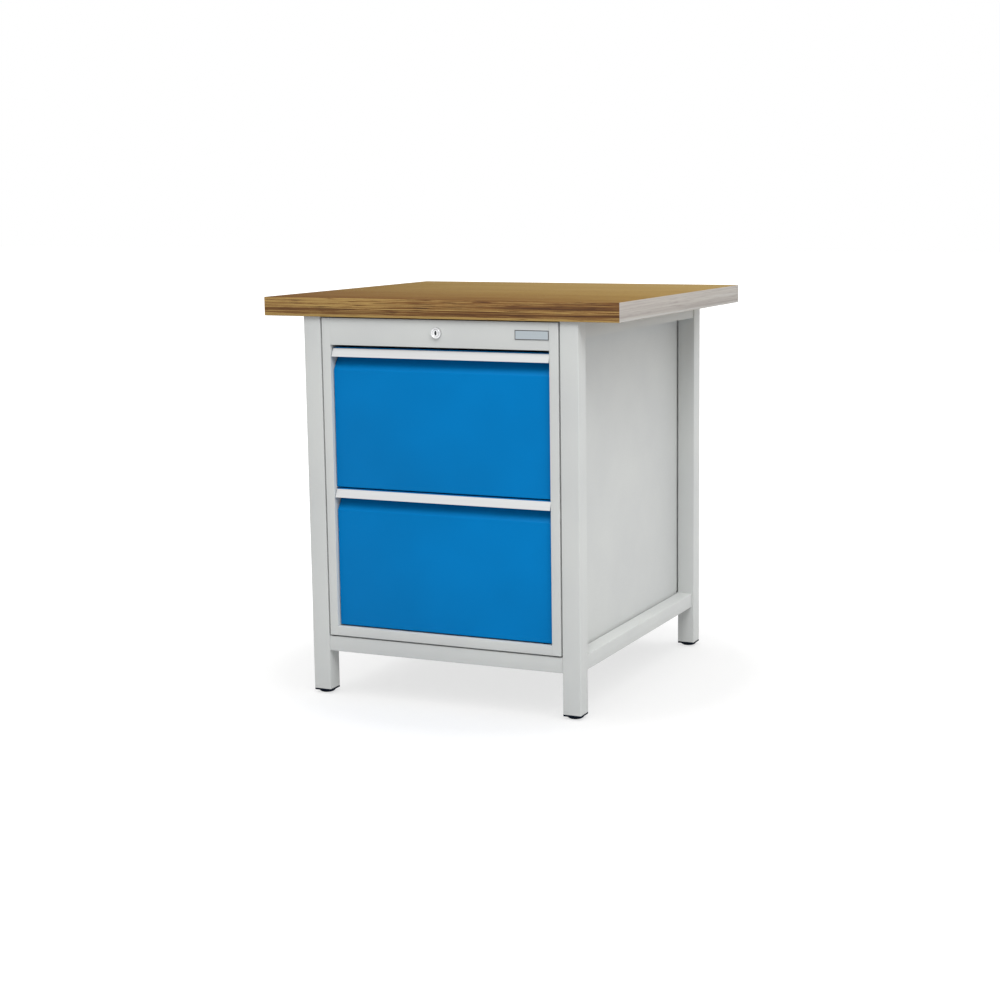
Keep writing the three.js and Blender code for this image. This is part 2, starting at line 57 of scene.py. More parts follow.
print("frame loaded:", len(frame["nodes"]), "nodes")


def linear(code):
    channels = [int(code[i : i + 2], 16) / 255 for i in (0, 2, 4)]
    return tuple(c / 12.92 if c <= 0.04045 else ((c + 0.055) / 1.055) ** 2.4 for c in channels) + (1.0,)


# adds a node: sockets take a value or another node's output, stops are a ramp's places and colours
def addNode(tree, kind, sockets=None, stops=(), **settings):
    node = tree.nodes.new("ShaderNode" + kind)
    for name, value in settings.items():
        setattr(node, name, value)
    for name, value in (sockets or {}).items():
        if isinstance(value, bpy.types.NodeSocket):
            tree.links.new(value, node.inputs[name])
        else:
            node.inputs[name].default_value = value
    for i, (place, code) in enumerate(stops):
        elements = node.color_ramp.elements
        element = elements[i] if i < 2 else elements.new(place)
        element.position = place
        element.color = linear(code)
    return node


# a fresh material with its tree, its shader and the object coordinates
def startMaterial(name, constants):
    material = bpy.data.materials.new(name)
    material.use_nodes = True
    tree = material.node_tree
    shader = tree.nodes["Principled BSDF"]
    for socket, value in constants.items():
        shader.inputs[socket].default_value = value
    return material, tree, shader, addNode(tree, "TexCoord").outputs["Object"]


# Epoxy-polyester powder coat, baked on steel: an even satin colour with a faint orange peel.
coatLook = {
    "greySteel": {"light": "c7c9c7", "dark": "c2c4c3", "specular": 0.35, "smooth": 0.42, "rough": 0.52},
    "blueSteel": {"light": "0077bb", "dark": "0073b5", "specular": 0.05, "smooth": 0.40, "rough": 0.50},
    "patch": 180 * mm,  # size of the faint changes of tone
    "peel": 4 * mm,  # the real peel is near 1 mm, drawn coarser so that it shows
    "peelDepth": 0.03 * mm,
}


def powderCoat(name, look):
    constants = {"IOR": 1.5, "Specular IOR Level": look["specular"]}
    material, tree, shader, coords = startMaterial(name, constants)
    tone = addNode(tree, "TexNoise", {"Vector": coords, "Scale": 1 / coatLook["patch"], "Detail": 2.0})
    stops = ((0.35, look["dark"]), (0.65, look["light"]))
    colour = addNode(tree, "ValToRGB", {"Fac": tone.outputs["Fac"]}, stops)
    peel = addNode(tree, "TexNoise", {"Vector": coords, "Scale": 1 / coatLook["peel"], "Detail": 1.0})
    shine = {"Value": peel.outputs["Fac"], "From Min": 0.3, "From Max": 0.7}
    shine.update({"To Min": look["smooth"], "To Max": look["rough"]})
    gloss = addNode(tree, "MapRange", shine)
    relief = {"Height": peel.outputs["Fac"], "Distance": coatLook["peelDepth"], "Strength": 0.5}
    bump = addNode(tree, "Bump", relief)
    tree.links.new(colour.outputs["Color"], shader.inputs["Base Color"])
    tree.links.new(gloss.outputs["Result"], shader.inputs["Roughness"])
    tree.links.new(bump.outputs["Normal"], shader.inputs["Normal"])
    return material


# Metals: a brushed, drawn or plated surface whose fine marks run along one axis.
# A mark's size along x, y and z and its depth are in millimetres.
metalLook = {
    # extruded aluminium, etched and anodised: pale, satin, with die lines along its length
    "anodised": {
        "colour": "dddddd",
        "dull": "d8d9d9",
        "rough": (0.34, 0.44),
        "mark": (300, 1.2, 1.2),
        "depth": 0.012,
    },
    # matt aluminium of the label plate, brushed along its length
    "label": {
        "colour": "adb5ba",
        "dull": "a5adb2",
        "rough": (0.42, 0.55),
        "mark": (40, 0.8, 0.8),
        "depth": 0.006,
    },
    # satin nickel on turned brass: bright and smooth
    "nickel": {
        "colour": "dededf",
        "dull": "d2d3d4",
        "rough": (0.22, 0.30),
        "mark": (6, 6, 6),
        "depth": 0.002,
    },
    # zinc plating on drawn steel: blue-grey with soft cloudy patches
    "zinc": {
        "colour": "bcc1c4",
        "dull": "a3a8ab",
        "rough": (0.30, 0.44),
        "mark": (12, 60, 12),
        "depth": 0.004,
    },
}


def plainMetal(name, look):
    material, tree, shader, coords = startMaterial(name, {"Metallic": 1.0})
    scales = Vector([1 / (size * mm) for size in look["mark"]])
    stretched = addNode(tree, "Mapping", {"Vector": coords, "Scale": scales})
    marks = addNode(tree, "TexNoise", {"Vector": stretched.outputs["Vector"], "Scale": 1.0, "Detail": 3.0})
    stops = ((0.3, look["dull"]), (0.7, look["colour"]))
    colour = addNode(tree, "ValToRGB", {"Fac": marks.outputs["Fac"]}, stops)
    shine = {"Value": marks.outputs["Fac"], "From Min": 0.3, "From Max": 0.7}
    shine.update({"To Min": look["rough"][0], "To Max": look["rough"][1]})
    gloss = addNode(tree, "MapRange", shine)
    relief = {"Height": marks.outputs["Fac"], "Distance": look["depth"] * mm, "Strength": 0.6}
    bump = addNode(tree, "Bump", relief)
    tree.links.new(colour.outputs["Color"], shader.inputs["Base Color"])
    tree.links.new(gloss.outputs["Result"], shader.inputs["Roughness"])
    tree.links.new(bump.outputs["Normal"], shader.inputs["Normal"])
    return material


# Polypropylene glides, moulded in black: a dull skin with a fine spark-eroded grain.
plasticLook = {"light": "0b1726", "dark": "070e18", "grain": 1.5 * mm, "depth": 0.05 * mm}


def mouldedPlastic():
    constants = {"IOR": 1.49, "Roughness": 0.65, "Specular IOR Level": 0.05}
    material, tree, shader, coords = startMaterial("black polypropylene", constants)
    grain = addNode(tree, "TexNoise", {"Vector": coords, "Scale": 1 / plasticLook["grain"], "Detail": 2.0})
    stops = ((0.35, plasticLook["dark"]), (0.65, plasticLook["light"]))
    colour = addNode(tree, "ValToRGB", {"Fac": grain.outputs["Fac"]}, stops)
    relief = {"Height": grain.outputs["Fac"], "Distance": plasticLook["depth"], "Strength": 0.5}
    bump = addNode(tree, "Bump", relief)
    tree.links.new(colour.outputs["Color"], shader.inputs["Base Color"])
    tree.links.new(bump.outputs["Normal"], shader.inputs["Normal"])
    return material


# Beech multiplex board, sanded and oiled: fine straight grain on the faces, thin plies on the edges.
woodLook = {
    "face": ("5d3f25", "6e502e", "82693d", "927a4c", "988153"),
    "longEdge": ("513827", "73502f", "8c6a40", "a88a54"),
    "shortEdge": ("9e9792", "a9a39e", "b4afa8", "bdbbb7"),
    "faceStops": (0.10, 0.30, 0.52, 0.76, 1.00),
    "edgeStops": (-0.14, -0.03, 0.08, 0.21),  # on both sides of the middle tone
    "ply": 2.4 * mm,
    "plyDepth": 0.08 * mm,
    "bandPlies": 0.24,  # broad bands, as a share of the plies' fineness
    "streak": 520 * mm,  # length of one streak along a ply
    "pore": 3.5 * mm,  # beech pores are finer, drawn coarser so that they show
    "poreLength": 160 * mm,
    "poreDepth": 0.05 * mm,
    "flame": (1.6, 7.0, 7.0),  # cloudy tones per metre along x, y and z
    "ring": 46 * mm,
    "ringLength": 0.12,  # how slowly a ring changes along the board
    "dash": 1.5 * mm,
    "dashLength": 75 * mm,
    "fleck": 1.6 * mm,
    "fleckLength": 11 * mm,
    "sealer": 5.5 * mm,  # the lighter bottom ply
    "base": 0.22,
    # what each pattern adds to the tone of the face, the first two by the metre:
    # the first two are a painted reflection, the board lighter towards its back right and darker towards its
    # front left corner
    "shares": {"sheenDeep": 0.72, "wide": 0.26, "cloud": 0.28, "grain": 0.30, "ring": 0.12, "fleck": -0.22},
    # and to the tone of an edge
    "edgeShares": {"sealer": 0.22, "band": 0.40, "dash": -0.18, "middle": 0.18},
}


def beechFace():
    constants = {"IOR": 1.47, "Specular IOR Level": 0.02}
    material, tree, shader, coords = startMaterial("oiled beech, face", constants)
    scale = Vector((1 / woodLook["poreLength"], 1 / woodLook["pore"], 1 / woodLook["pore"]))
    along = addNode(tree, "Mapping", {"Vector": coords, "Scale": scale})
    grain = addNode(tree, "TexNoise", {"Vector": along.outputs["Vector"], "Scale": 1.0, "Detail": 4.0})
    flame = addNode(tree, "Mapping", {"Vector": coords, "Scale": Vector(woodLook["flame"])})
    cloud = addNode(tree, "TexNoise", {"Vector": flame.outputs["Vector"], "Scale": 1.0, "Detail": 2.0})
    parts = addNode(tree, "SeparateXYZ", {"Vector": coords})
    # growth rings cut flat, one wave of the texture being 0.314 long
    wave = 0.314 / woodLook["ring"]
    stretch = Vector((wave * woodLook["ringLength"], wave, wave))
    veneer = addNode(tree, "Mapping", {"Vector": coords, "Scale": stretch})
    swirl = {"Vector": veneer.outputs["Vector"], "Scale": 1.0, "Distortion": 4.0}
    swirl.update({"Detail": 2.0, "Detail Scale": 1.5})
    rings = addNode(tree, "TexWave", swirl, wave_type="BANDS", bands_direction="Y", wave_profile="SAW")
    speck = Vector((1 / woodLook["fleckLength"], 1 / woodLook["fleck"], 1 / woodLook["fleck"]))
    short = addNode(tree, "Mapping", {"Vector": coords, "Scale": speck})
    dots = addNode(tree, "TexNoise", {"Vector": short.outputs["Vector"], "Scale": 1.0, "Detail": 1.0})
    flecks = addNode(tree, "MapRange", {"Value": dots.outputs["Fac"], "From Min": 0.60, "From Max": 0.72})
    patterns = {
        # the first two paint a reflection of the light across the board, by the board's depth and width
        "sheenDeep": parts.outputs["Y"],
        "wide": parts.outputs["X"],
        "cloud": cloud.outputs["Fac"],
        "grain": grain.outputs["Fac"],
        "ring": rings.outputs["Fac"],
        "fleck": flecks.outputs["Result"],
    }
    tone = woodLook["base"]
    for name, value in patterns.items():
        added = {0: value, 1: woodLook["shares"][name], 2: tone}
        tone = addNode(tree, "Math", added, operation="MULTIPLY_ADD").outputs[0]
    stops = tuple(zip(woodLook["faceStops"], woodLook["face"]))
    colour = addNode(tree, "ValToRGB", {"Fac": tone}, stops)
    shine = {"Value": grain.outputs["Fac"], "From Min": 0.3, "From Max": 0.7}
    shine.update({"To Min": 0.85, "To Max": 0.72})
    gloss = addNode(tree, "MapRange", shine)
    relief = {"Height": grain.outputs["Fac"], "Distance": woodLook["poreDepth"], "Strength": 0.5}
    bump = addNode(tree, "Bump", relief)
    tree.links.new(colour.outputs["Color"], shader.inputs["Base Color"])
    tree.links.new(gloss.outputs["Result"], shader.inputs["Roughness"])
    tree.links.new(bump.outputs["Normal"], shader.inputs["Normal"])
    return material


# the plies on an edge: streaks and dashes along it, a lighter ply at the bottom, a drift of tone by the metre
def beechEdge(name, along, tones, contrast, drift):
    constants = {"IOR": 1.47, "Specular IOR Level": 0.08, "Roughness": 0.65}
    material, tree, shader, coords = startMaterial(name, constants)
    length = 1 / woodLook["streak"]
    ply = 1 / woodLook["ply"]
    scale = Vector((length, 0.0, ply)) if along == "X" else Vector((0.0, length, ply))
    flat = addNode(tree, "Mapping", {"Vector": coords, "Scale": scale})
    rough = {"Vector": flat.outputs["Vector"], "Scale": 1.0, "Detail": 6.0, "Roughness": 0.72}
    streaks = addNode(tree, "TexNoise", rough)
    wider = Vector((scale.x * 0.7, scale.y * 0.7, scale.z * woodLook["bandPlies"]))
    broad = addNode(tree, "Mapping", {"Vector": coords, "Scale": wider})
    bands = addNode(tree, "TexNoise", {"Vector": broad.outputs["Vector"], "Scale": 1.0, "Detail": 1.0})
    parts = addNode(tree, "SeparateXYZ", {"Vector": coords})
    shares = woodLook["edgeShares"]
    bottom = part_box("worktop")[0].z
    rise = {"Value": parts.outputs["Z"], "From Min": bottom + woodLook["sealer"]}
    rise.update({"From Max": bottom + woodLook["sealer"] * 0.4, "To Min": 0.0, "To Max": shares["sealer"]})
    sealed = addNode(tree, "MapRange", rise)
    dash = Vector((1 / woodLook["dashLength"],) * 2 + (1 / woodLook["dash"],))
    thin = addNode(tree, "Mapping", {"Vector": coords, "Scale": dash})
    dots = addNode(tree, "TexNoise", {"Vector": thin.outputs["Vector"], "Scale": 1.0, "Detail": 2.0})
    dashes = addNode(tree, "MapRange", {"Value": dots.outputs["Fac"], "From Min": 0.56, "From Max": 0.66})
    patterns = (
        (bands.outputs["Fac"], shares["band"]),
        (parts.outputs[along], drift),
        (streaks.outputs["Fac"], contrast),
        (dashes.outputs["Result"], shares["dash"] * contrast),
    )
    tone = sealed.outputs["Result"]
    for value, share in patterns:
        tone = addNode(tree, "Math", {0: value, 1: share, 2: tone}, operation="MULTIPLY_ADD").outputs[0]
    middle = contrast / 2 + shares["middle"]
    stops = tuple((middle + stop, code) for stop, code in zip(woodLook["edgeStops"], tones))
    colour = addNode(tree, "ValToRGB", {"Fac": tone}, stops)
    relief = {"Height": streaks.outputs["Fac"], "Distance": woodLook["plyDepth"], "Strength": 0.5}
    bump = addNode(tree, "Bump", relief)
    tree.links.new(colour.outputs["Color"], shader.inputs["Base Color"])
    tree.links.new(bump.outputs["Normal"], shader.inputs["Normal"])
    return material


greySteel = powderCoat("grey powder-coated steel", coatLook["greySteel"])
blueSteel = powderCoat("blue powder-coated steel", coatLook["blueSteel"])
anodised = plainMetal("anodised aluminium", metalLook["anodised"])
labelMetal = plainMetal("brushed label aluminium", metalLook["label"])
nickel = plainMetal("satin nickel", metalLook["nickel"])
zinc = plainMetal("zinc-plated steel", metalLook["zinc"])
blackPlastic = mouldedPlastic()
faceBeech = beechFace()
longBeech = beechEdge("oiled beech, long edge plies", "X", woodLook["longEdge"], 1.5, -0.12)
shortBeech = beechEdge("raw beech, short edge plies", "Y", woodLook["shortEdge"], 0.8, 0.0)
print("materials made")


# puts a finished mesh in the place of a CAD node
def place(bm, node, *materials):
    mesh = bpy.data.meshes.new(node + "_shape")
    bm.to_mesh(mesh)
    bm.free()
    for material in materials:
        mesh.materials.append(material)
    mesh.shade_smooth()
    mesh.set_sharp_from_angle(angle=math.radians(32))
    piece = bpy.data.objects.new(node + "_shape", mesh)
    bpy.context.scene.collection.objects.link(piece)
    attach(piece, bodyOf[node])
    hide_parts(node)


def addBox(bm, low, high):
    low, high = Vector(low), Vector(high)
    size = Matrix.Diagonal((*(high - low), 1))
    bmesh.ops.create_cube(bm, size=1, matrix=Matrix.Translation((low + high) / 2) @ size)


def bevelEdges(bm, edges, width, segments=2):
    bmesh.ops.bevel(
        bm,
        geom=list(edges),
        offset=width,
        segments=segments,
        profile=0.5,
        affect="EDGES",
        material=-1,
        clamp_overlap=True,
    )


def edgesAlong(bm, axis):
    way = axisVectors[axis]
    return [e for e in bm.edges if abs((e.verts[1].co - e.verts[0].co).normalized().dot(way)) > 0.999]


def middleOf(edge):
    return (edge.verts[0].co + edge.verts[1].co) / 2


def sharpEdges(bm, degrees=30):
    limit = math.radians(degrees)
    return [e for e in bm.edges if len(e.link_faces) == 2 and e.calc_face_angle(0) > limit]


# a point from its two coordinates across an axis and its station along it
def spot(axis, across, station):
    u, v = across
    return Vector({"x": (station, u, v), "y": (u, station, v), "z": (u, v, station)}[axis])


def acrossOf(axis, co):
    return Vector({"x": (co.y, co.z), "y": (co.x, co.z), "z": (co.x, co.y)}[axis])


# sheet metal: an open profile pulled along an axis and rounded at its folds, still without its wall
def foldedSheet(points, axis, start, end, radii):
    bm = bmesh.new()
    verts = [bm.verts.new(spot(axis, p, start)) for p in points]
    edges = [bm.edges.new(pair) for pair in zip(verts, verts[1:])]
    made = bmesh.ops.extrude_edge_only(bm, edges=edges)["geom"]
    pulled = [g for g in made if isinstance(g, bmesh.types.BMVert)]
    bmesh.ops.translate(bm, verts=pulled, vec=axisVectors[axis] * (end - start))
    for point, radius in zip(points[1:-1], radii):
        if radius:
            corner = Vector(point)
            places = {e: acrossOf(axis, middleOf(e)) for e in edgesAlong(bm, axis)}
            fold = [e for e, at in places.items() if (at - corner).length < touch]
            bevelEdges(bm, fold, radius, 4)
    return bm


def thicken(bm, wall):
    bmesh.ops.solidify(bm, geom=bm.faces[:], thickness=wall)
    bmesh.ops.recalc_face_normals(bm, faces=bm.faces[:])


# a closed profile pulled along an axis into a solid bar
def bar(points, axis, start, end):
    bm = bmesh.new()
    face = bm.faces.new([bm.verts.new(spot(axis, p, start)) for p in points])
    made = bmesh.ops.extrude_face_region(bm, geom=[face])["geom"]
    pulled = [g for g in made if isinstance(g, bmesh.types.BMVert)]
    bmesh.ops.translate(bm, verts=pulled, vec=axisVectors[axis] * (end - start))
    bmesh.ops.recalc_face_normals(bm, faces=bm.faces[:])
    return bm


# a turned shape from (radius, station) pairs round an axis through a centre
def addTurned(bm, profile, axis, centre, steps=48):
    way = axisVectors[axis]
    out = axisVectors["z" if axis != "z" else "x"]
    verts = [bm.verts.new(Vector(centre) + out * r + way * s) for r, s in profile]
    edges = [bm.edges.new(pair) for pair in zip(verts, verts[1:])]
    before = set(bm.faces)
    turn = {"cent": centre, "axis": way, "angle": math.tau, "steps": steps}
    bmesh.ops.spin(bm, geom=verts + edges, use_merge=True, **turn)
    fresh = [f for f in bm.faces if f not in before]
    ring = list({v for f in fresh for v in f.verts})
    bmesh.ops.remove_doubles(bm, verts=ring, dist=1e-7)
    fresh = [f for f in bm.faces if f not in before]
    bmesh.ops.recalc_face_normals(bm, faces=fresh)


# a merged copy of a CAD node with its sharp edges broken
def brokenEdges(node, width):
    bm = bmesh.new()
    bm.from_mesh(frame["nodes"][node].data)
    bmesh.ops.remove_doubles(bm, verts=bm.verts[:], dist=touch)
    bmesh.ops.dissolve_limit(bm, angle_limit=math.radians(0.5), verts=bm.verts[:], edges=bm.edges[:])
    bevelEdges(bm, sharpEdges(bm), width)
    return bm


# Worktop
boardLook = {"edge": 0.9 * mm}


def makeWorktop():
    bm = bmesh.new()
    addBox(bm, *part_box("worktop"))
    bevelEdges(bm, bm.edges, boardLook["edge"], 2)
    for face in bm.faces:
        if abs(face.normal.x) > 0.6:
            face.material_index = 2
        elif abs(face.normal.y) > 0.6:
            face.material_index = 1
    place(bm, "worktop", faceBeech, longBeech, shortBeech)


makeWorktop()
print("worktop made")

# Frame of welded square tube on plastic glides
tubeLook = {"wall": 2 * mm, "corner": 1.2 * mm, "angleWall": 3 * mm, "angleFold": 2 * mm}
footLook = {
    "flange": 3.9 * mm,
    "glide": 6 * mm,
    "radius": 18 * mm,
    "taper": 8 * mm,
    "domeSteps": 8,
    "plugGap": 0.3 * mm,
    "overlap": 1 * mm,  # of the plug and the glide into the flange
    "edge": 0.5 * mm,
}


def makeTube(node, axis):
    bm = bmesh.new()
    addBox(bm, *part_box(node))
    way = axisVectors[axis]
    bmesh.ops.delete(bm, geom=[f for f in bm.faces if abs(f.normal.dot(way)) > 0.9], context="FACES_ONLY")
    bevelEdges(bm, edgesAlong(bm, axis), tubeLook["corner"], 5)
    thicken(bm, tubeLook["wall"])
    place(bm, node, greySteel)


def makeFoot(node):
    low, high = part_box(node)
    middle = (low + high) / 2
    under = low.z + footLook["glide"]
    over = under + footLook["flange"]
    bm = bmesh.new()
    addBox(bm, (low.x, low.y, under), (high.x, high.y, over))
    bevelEdges(bm, edgesAlong(bm, "z"), tubeLook["corner"], 4)
    rim = [edge for edge in sharpEdges(bm) if middleOf(edge).z < under + footLook["edge"]]
    bevelEdges(bm, rim, footLook["edge"], 2)
    inner = tubeLook["wall"] + footLook["plugGap"]
    plugBottom = over - footLook["overlap"]
    addBox(bm, (low.x + inner, low.y + inner, plugBottom), (high.x - inner, high.y - inner, high.z))
    # the glide is a dome on a flat foot
    profile = [(0, 0)]
    for step in range(footLook["domeSteps"] + 1):
        turn = step / footLook["domeSteps"] * math.pi / 2
        out = footLook["radius"] - footLook["taper"] * (1 - math.sin(turn))
        profile.append((out, footLook["glide"] * (1 - math.cos(turn))))
    glideTop = footLook["glide"] + footLook["overlap"]
    profile += [(footLook["radius"], glideTop), (0, glideTop)]
    addTurned(bm, profile, "z", (middle.x, middle.y, low.z))
    place(bm, node, blackPlastic)


def makeTopAngle(side):
    node = "top_angle_" + side
    low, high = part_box(node)
    outer, inner = (low.x, high.x) if side == "left" else (high.x, low.x)
    points = [(outer, low.z), (outer, high.z), (inner, high.z)]
    bm = foldedSheet(points[:: sides[side]], "y", low.y, high.y, [tubeLook["angleFold"]])
    thicken(bm, tubeLook["angleWall"])
    place(bm, node, greySteel)


for end in ends:
    makeTube(end + "_rail", "x")
    for side in sides:
        makeTube(f"leg_{end}_{side}", "z")
        makeFoot(f"foot_{end}_{side}")
for side in sides:
    makeTube("side_rail_" + side, "y")
    makeTopAngle(side)
print("frame made")

# Cabinet of folded sheet
cabinetLook = {
    "wall": 1.5 * mm,
    "fold": 1.0 * mm,
    "seamFold": 0.2 * mm,  # tight, because the welded corners of the front frame show no joint
    "lip": 30 * mm,
    "flange": 20 * mm,
    "skirt": 13.5 * mm,
    "skirtInset": 39.5 * mm,
    "boss": 10 * mm,  # radius of the spacers between the wall and the legs
    "seam": 0.1 * mm,
    "edge": 0.3 * mm,
}


def makeCabinetSide(side):
    node = "cabinet_side_" + side
    s = sides[side]
    low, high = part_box(node)
    bolts = [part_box(f"cabinet_bolt_{end}_{side}_{level}") for end in ends for level in (1, 2)]
    boss = max(abs(low.x), abs(high.x))
    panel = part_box("cabinet_back")
    half = max(panel[1].x, -panel[0].x) + cabinetLook["wall"] + cabinetLook["seam"]
    inner = half - cabinetLook["flange"]
    skirtY = high.y - cabinetLook["skirtInset"]
    bottom = low.z + cabinetLook["skirt"]
    lip = low.y + cabinetLook["lip"]
    points = [
        (s * half, high.y),
        (s * half, skirtY),
        (s * half, -skirtY),
        (s * half, low.y),
        (s * inner, low.y),
        (s * inner, lip),
    ]
    folds = [0, 0, cabinetLook["fold"], cabinetLook["seamFold"]]
    bm = foldedSheet(points[::s], "z", bottom, high.z, folds[::s])
    corners = [v for v in bm.verts if abs(v.co.z - bottom) < touch and abs(abs(v.co.y) - skirtY) < touch]
    hem = [e for e in bm.edges if all(v in corners for v in e.verts)]
    made = bmesh.ops.extrude_edge_only(bm, edges=hem)["geom"]
    dropped = [g for g in made if isinstance(g, bmesh.types.BMVert)]
    bmesh.ops.translate(bm, verts=dropped, vec=(0, 0, -cabinetLook["skirt"]))
    thicken(bm, cabinetLook["wall"])
    radius = cabinetLook["boss"]
    length = boss - half
    profile = [(0, 0), (radius, 0), (radius, length), (0, length)]
    start = half if s > 0 else -boss
    for boltLow, boltHigh in bolts:
        middle = (boltLow + boltHigh) / 2
        addTurned(bm, profile, "x", (start, middle.y, middle.z), 32)
    place(bm, node, greySteel)


# a channel across the front: a return, a face and a lip
def makeFrontChannel(node):
    low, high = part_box(node)
    points = [(high.y, low.z), (low.y, low.z), (low.y, high.z), (high.y, high.z)]
    bm = foldedSheet(points, "x", low.x, high.x, [cabinetLook["seamFold"]] * 2)
    thicken(bm, cabinetLook["wall"])
    place(bm, node, greySteel)


for side in sides:
    makeCabinetSide(side)
for node in ("lock_fascia", "lower_front_strip"):
    makeFrontChannel(node)
for node in ("cabinet_bottom", "cabinet_top", "cabinet_back"):
    place(brokenEdges(node, cabinetLook["edge"]), node, greySteel)
print("cabinet made")

# Drawers
frontLook = {
    "slopeDepth": 20 * mm,
    "slopeHeight": 28 * mm,
    "grip": 19 * mm,
    "sheet": 1.25 * mm,
    "fold": 1.6 * mm,
    "lipEdge": 0.4 * mm,
    "edge": 0.8 * mm,
    "near": 1 * mm,  # reach when picking the edges of the pocket and the lip
}
gripLook = {"lean": 7 * mm, "wall": 2.5 * mm, "hook": 4.5 * mm, "edge": 0.6 * mm, "cut": 0.25 * mm}
trayLook = {"wall": 1.25 * mm, "fold": 2.2 * mm, "hem": 10 * mm, "hemFold": 1.6 * mm, "edge": 0.3 * mm}
runnerLook = {"edge": 0.35 * mm}


def makeDrawerFront(node):
    low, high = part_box(node)
    slopeTop = high.z - frontLook["grip"]
    pocketBack = low.y + frontLook["slopeDepth"]
    lipUnder = high.z - frontLook["sheet"]
    points = [
        (low.y, low.z),
        (high.y, low.z),
        (high.y, high.z),
        (low.y, high.z),
        (low.y, lipUnder),
        (pocketBack, lipUnder),
        (pocketBack, slopeTop),
        (low.y, slopeTop - frontLook["slopeHeight"]),
    ]
    bm = bar(points, "x", low.x, high.x)
    near = frontLook["near"]
    places = {e: middleOf(e) for e in edgesAlong(bm, "x")}
    pocket = [e for e, at in places.items() if at.z > slopeTop - near and at.y < pocketBack + near]
    bevelEdges(bm, [e for e in places if e not in pocket], frontLook["fold"], 4)
    places = {e: middleOf(e) for e in edgesAlong(bm, "x")}
    lip = [e for e, at in places.items() if at.z > slopeTop + near and at.y < low.y + near]
    bevelEdges(bm, lip, frontLook["lipEdge"], 2)
    bevelEdges(bm, sharpEdges(bm, 60), frontLook["edge"], 2)
    place(bm, node, blueSteel)


def makeGripStrip(node):
    low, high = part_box(node)
    wall = gripLook["wall"]
    slope = gripLook["lean"] / (high.z - low.z)
    across = wall * math.hypot(1, slope)
    faceTop = low.y + gripLook["lean"]
    points = [
        (high.y, high.z),
        (faceTop, high.z),
        (low.y, low.z),
        (low.y + gripLook["hook"], low.z),
        (low.y + gripLook["hook"], low.z + wall),
        (low.y + slope * wall + across, low.z + wall),
        (faceTop - slope * wall + across, high.z - wall),
        (high.y, high.z - wall),
    ]
    bm = bar(points, "x", low.x, high.x)
    bevelEdges(bm, edgesAlong(bm, "x"), gripLook["edge"], 3)
    bevelEdges(bm, sharpEdges(bm, 60), gripLook["cut"], 1)
    place(bm, node, anodised)


def makeTray(node):
    low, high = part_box(node)
    hem = trayLook["hem"]
    points = [
        (low.x + hem, high.z),
        (low.x, high.z),
        (low.x, low.z),
        (high.x, low.z),
        (high.x, high.z),
        (high.x - hem, high.z),
    ]
    folds = [trayLook["hemFold"], trayLook["fold"], trayLook["fold"], trayLook["hemFold"]]
    bm = foldedSheet(points, "y", low.y, high.y, folds)
    thicken(bm, trayLook["wall"])
    place(bm, node, greySteel)


for name in drawers:
    makeDrawerFront(name + "_drawer_front")
    makeGripStrip(name + "_grip_strip")
    makeTray(name + "_tray")
    place(brokenEdges(name + "_tray_back", trayLook["edge"]), name + "_tray_back", greySteel)
    for member in ("cabinet", "middle", "tray"):
        for side in sides:
            node = f"{name}_runner_{member}_{side}"
            place(brokenEdges(node, runnerLook["edge"]), node, zinc)
print("drawers made")

# Lock, locking bar and label plate
lockLook = {
    "bezelEdge": 1.2 * mm,
    "bezelDepth": 5.5 * mm,
    "bore": 7.8 * mm,
    "boreEdge": 0.5 * mm,
    "rimStart": 1.1 * mm,  # from the bore to the flat rim
    "body": 9 * mm,
    "dish": 0.5 * mm,
    "plugEdge": 0.25 * mm,
    "slotReach": 6.5 * mm,
    "edge": 0.3 * mm,
}
labelLook = {
    "edge": 0.3 * mm,
    "border": 2.0 * mm,
    "recess": 0.12 * mm,
    "recessSlope": 0.15 * mm,
    "ink": ("2e2a28", "3a3532"),
    "inkGrain": 2 * mm,
}


def makeLockHousing():
    low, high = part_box("lock_housing")
    centre = Vector(((low.x + high.x) / 2, 0, (low.z + high.z) / 2))
    r = (high.x - low.x) / 2
    face = low.y
    edge = lockLook["bezelEdge"]
    bore = lockLook["bore"]
    profile = [
        (bore, face + lockLook["dish"] * 1.4),
        (bore + lockLook["boreEdge"], face + lockLook["dish"]),
        (bore + lockLook["rimStart"], face),
        (r - edge, face),
        (r - edge * 0.4, face + edge * 0.25),
        (r, face + edge),
        (r, face + lockLook["bezelDepth"]),
        (lockLook["body"], face + lockLook["bezelDepth"]),
        (lockLook["body"], high.y),
        (bore, high.y),
        (bore, face + lockLook["dish"] * 1.4),
    ]
    bm = bmesh.new()
    addTurned(bm, profile, "y", centre, 64)
    place(bm, "lock_housing", nickel)


# the inside of the key slot is dark: a painted shade, the black plastic standing for the shadow in the
# keyhole
def makeLockPlug():
    low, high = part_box("lock_plug")
    middle = (low + high) / 2
    skin = lockLook["plugEdge"] * 1.5
    bm = brokenEdges("lock_plug", lockLook["plugEdge"])
    for face in bm.faces:
        at = face.calc_center_median()
        inside = math.hypot(at.x - middle.x, at.z - middle.z) < lockLook["slotReach"]
        if inside and low.y + skin < at.y < high.y - skin:
            # painted shade: the slot's inner faces take the black material
            face.material_index = 1
    place(bm, "lock_plug", nickel, blackPlastic)


# Baked printing ink on the label's rim: dull and dark.
def borderInk():
    material, tree, shader, coords = startMaterial("dark printing ink", {"IOR": 1.5, "Roughness": 0.5})
    grain = addNode(tree, "TexNoise", {"Vector": coords, "Scale": 1 / labelLook["inkGrain"], "Detail": 1.0})
    stops = tuple(zip((0.3, 0.7), labelLook["ink"]))
    colour = addNode(tree, "ValToRGB", {"Fac": grain.outputs["Fac"]}, stops)
    tree.links.new(colour.outputs["Color"], shader.inputs["Base Color"])
    return material


